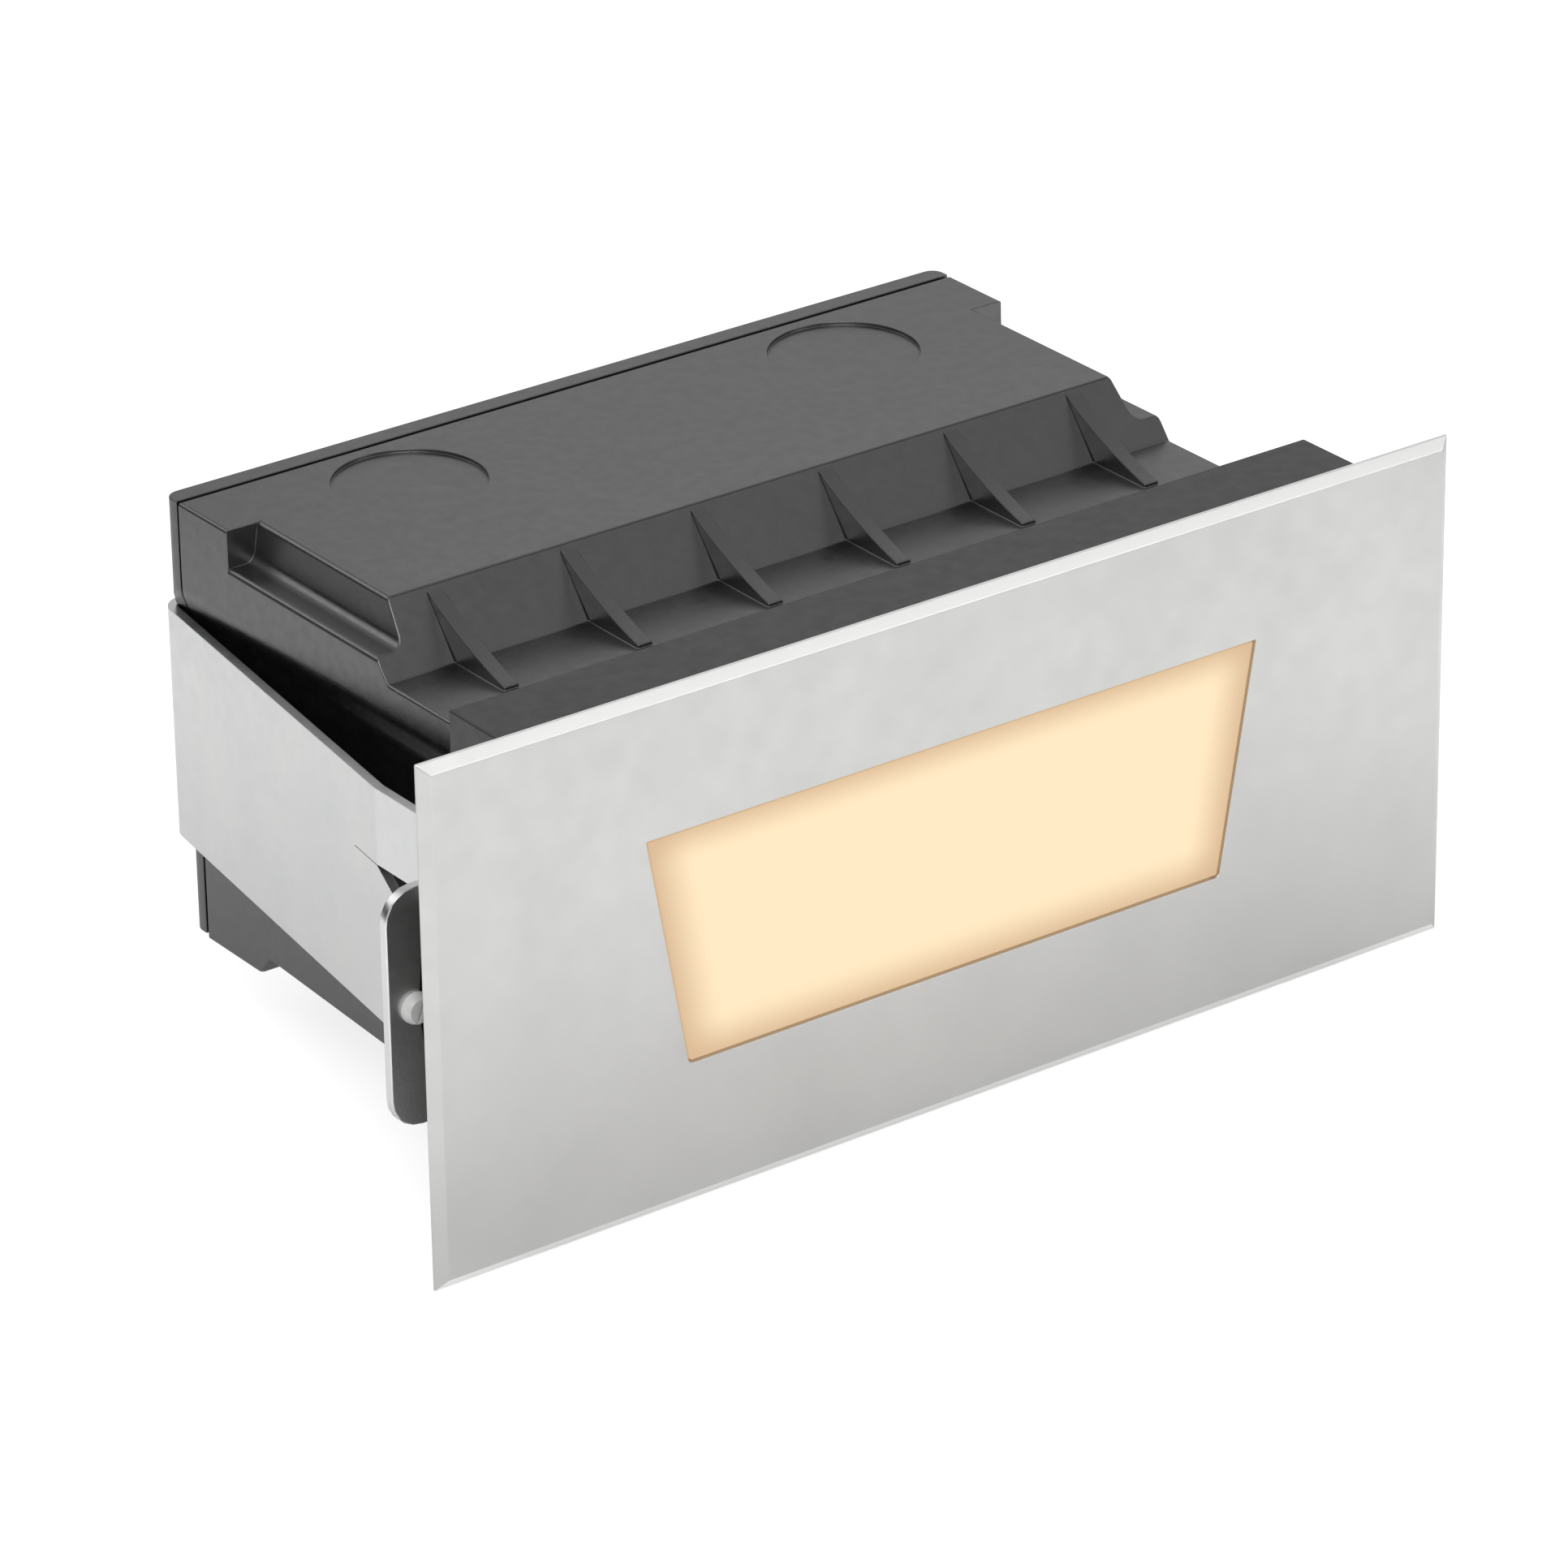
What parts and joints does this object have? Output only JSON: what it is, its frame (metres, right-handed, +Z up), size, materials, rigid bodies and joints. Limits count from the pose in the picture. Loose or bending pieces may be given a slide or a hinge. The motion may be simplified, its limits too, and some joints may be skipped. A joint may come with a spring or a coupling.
{
  "type": "recessed wall light",
  "caption": "Recessed wall light: bevelled steel faceplate with a trapezoid window, lamp engine behind it, moulded back box and a sprung steel bracket with screw ears.",
  "frame": {"origin": "middle of the faceplate's back, which lies on the face of the wall", "axes": "+X to the right seen from the front, +Y into the wall, +Z up"},
  "size_m": [0.2286, 0.1243, 0.1028],
  "materials": {
    "satin_steel": "satin",
    "black_plastic": "satin, finely grained",
    "black_rubber": "matt",
    "zinc_plate": "zinc plated",
    "white_screw": "satin",
    "frosted_lens": "frosted, lit from behind",
    "dark_casting": "satin",
    "white_reflector": "gloss",
    "white_board": "satin",
    "yellow_chip": "gloss",
    "grey_pad": "matt",
    "bare_aluminium": "extruded",
    "grey_case": "satin",
    "green_board": "satin",
    "ivory_plastic": "satin",
    "brass_screw": "bright",
    "green_screw": "satin"
  },
  "bodies": {
    "housing": {"collar": "black_plastic", "collar_gasket": "black_rubber", "collar_screws": "zinc_plate", "stud_grommets": "black_rubber", "plate_gasket": "black_rubber", "back_box": "black_plastic", "rear_gasket": "black_rubber", "rear_cover": "black_plastic", "cover_screws": "zinc_plate", "back_strap": "satin_steel", "strap_screws": "zinc_plate", "driver_case": "grey_case", "driver_board": "green_board", "driver_cover": "grey_case", "driver_screws": "zinc_plate", "terminal_block": "ivory_plastic", "terminal_screws": "brass_screw", "earth_screw": "green_screw"},
    "light_engine": {"lens": "frosted_lens", "lens_gasket": "black_rubber", "lens_bezel": "black_plastic", "engine_housing": "dark_casting", "reflector": "white_reflector", "led_board": "white_board", "led_chips": "yellow_chip", "thermal_pad": "grey_pad", "board_screws": "zinc_plate", "heat_sink": "bare_aluminium", "wire_grommet": "black_rubber", "engine_screws": "zinc_plate"},
    "cover_plate": {"faceplate": "satin_steel", "faceplate_studs": "zinc_plate"},
    "left_arm": {"left_spring_arm": "satin_steel", "left_ear_screw": "white_screw", "left_ear_nut": "zinc_plate"},
    "right_arm": {"right_spring_arm": "satin_steel", "right_ear_screw": "white_screw", "right_ear_nut": "zinc_plate"}
  },
  "joints": [
    {"name": "engine_out", "type": "slide", "parent": "housing", "child": "light_engine", "axis": [0, -1, 0], "range_m": [0, 0.06]},
    {"name": "plate_off", "type": "slide", "parent": "light_engine", "child": "cover_plate", "axis": [0, -1, 0], "range_m": [0, 0.02]},
    {"name": "left_arm_flex", "type": "hinge", "parent": "housing", "child": "left_arm", "pos_m": [-0.08423, 0.1174, 0.007], "axis": [0, 0, 1], "range_deg": [0, 1.8], "stiffness_Nm_per_rad": 100},
    {"name": "right_arm_flex", "type": "hinge", "parent": "housing", "child": "right_arm", "pos_m": [0.08423, 0.1174, 0.007], "axis": [0, 0, -1], "range_deg": [0, 1.8], "stiffness_Nm_per_rad": 100}
  ]
}
